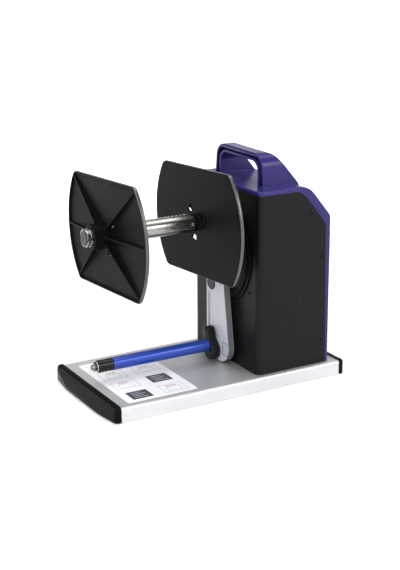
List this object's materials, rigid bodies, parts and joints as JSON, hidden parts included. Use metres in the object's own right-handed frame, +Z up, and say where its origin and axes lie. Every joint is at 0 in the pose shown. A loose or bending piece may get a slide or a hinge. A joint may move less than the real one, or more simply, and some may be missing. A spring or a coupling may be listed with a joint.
{
  "type": "label rewinder",
  "caption": "Desktop label rewinder: driven mandrel with a fixed and a sliding flange, dancer arm with a blue guide roller, black and purple housing on an aluminium base",
  "frame": {"origin": "on the table, under the middle of the base", "axes": "X runs along the base and the mandrel, from the mandrel's free end to the back of the housing; Y runs across; Z is up"},
  "size_m": [0.37, 0.231, 0.318],
  "materials": {
    "base_aluminium": "satin anodised extrusion",
    "cap_plastic": "smooth moulded, soft sheen",
    "foot_rubber": "matt rubber",
    "black_cover": "fine moulded grain",
    "purple_cover": "satin moulding",
    "bezel_plastic": "satin moulding",
    "black_steel": "black oxide",
    "frame_steel": "zinc plated sheet",
    "bright_steel": "turned and polished",
    "bush_bronze": "sintered or turned",
    "motor_steel": "plated can",
    "sensor_plastic": "moulded",
    "board_laminate": "solder mask",
    "switch_plastic": "glossy moulding",
    "mandrel_aluminium": "drawn, brushed lengthwise",
    "plug_plastic": "moulded",
    "gear_plastic": "natural acetal",
    "flange_plastic": "fine grain, satin edges",
    "arm_paint": "silver paint",
    "insert_plastic": "moulded",
    "clip_steel": "tempered spring steel",
    "knob_plastic": "moulded",
    "roller_blue": "blue anodised tube",
    "bush_plastic": "glossy moulding"
  },
  "bodies": {
    "root": {"base_plate": "base_aluminium", "left_end_cap": "cap_plastic", "right_end_cap": "cap_plastic", "rubber_feet": "foot_rubber", "front_cover": "black_cover", "rear_cover": "purple_cover", "front_bezel": "bezel_plastic", "bezel_screws": "black_steel", "cover_screws": "black_steel", "bearing_frame": "frame_steel", "frame_bolts": "bright_steel", "front_bearing": "bright_steel", "rear_bearing": "bright_steel", "pivot_bushes": "bush_bronze", "gear_motor": "motor_steel", "motor_screws": "black_steel", "arm_sensor": "sensor_plastic", "control_board": "board_laminate", "board_posts": "bush_bronze", "dc_inlet": "switch_plastic", "switch_body": "switch_plastic"},
    "reel": {"mandrel": "mandrel_aluminium", "end_plug": "plug_plastic", "width_rack": "bright_steel", "drive_shaft": "bright_steel", "drive_gear": "gear_plastic", "shaft_clips": "black_steel", "inner_flange": "flange_plastic"},
    "sliding_flange": {"outer_flange": "flange_plastic", "detent_spring": "bright_steel"},
    "pinion": {"motor_pinion": "bush_bronze"},
    "arm": {"dancer_arm": "arm_paint", "arm_plug": "plug_plastic", "arm_insert": "insert_plastic", "pivot_axle": "bright_steel", "axle_clip": "black_steel", "roller_spindle": "bright_steel", "tip_washer": "bright_steel", "tip_clip": "clip_steel"},
    "knob": {"clamp_knob": "knob_plastic"},
    "roller": {"roller_tube": "roller_blue", "roller_end_bush": "bush_plastic", "roller_inner_bush": "bush_plastic"},
    "rocker": {"switch_rocker": "switch_plastic"}
  },
  "joints": [
    {"name": "reel_spin", "type": "hinge", "parent": "root", "child": "reel", "pos_m": [0, 0, 0.224], "axis": [1, 0, 0], "continuous": true},
    {"name": "pinion_spin", "type": "hinge", "parent": "root", "child": "pinion", "pos_m": [0, 0.03595, 0.20647], "axis": [1, 0, 0], "continuous": true},
    {"name": "flange_slide", "type": "slide", "parent": "reel", "child": "sliding_flange", "axis": [1, 0, 0], "range_m": [-0.008, 0.105]},
    {"name": "arm_swing", "type": "hinge", "parent": "root", "child": "arm", "pos_m": [0, 0, 0.174], "axis": [-1, 0, 0], "range_deg": [0, 55]},
    {"name": "knob_turn", "type": "hinge", "parent": "arm", "child": "knob", "pos_m": [0, 0, 0.0455], "axis": [1, 0, 0], "range_deg": [0, 90]},
    {"name": "roller_spin", "type": "hinge", "parent": "arm", "child": "roller", "pos_m": [0, 0, 0.0455], "axis": [1, 0, 0], "continuous": true},
    {"name": "rocker_tilt", "type": "hinge", "parent": "root", "child": "rocker", "pos_m": [0.153, -0.036, 0.047], "axis": [0, 1, 0], "range_deg": [-20, 0]}
  ],
  "couplings": [
    {"joint": "pinion_spin", "follows": "reel_spin", "ratio": -3}
  ]
}
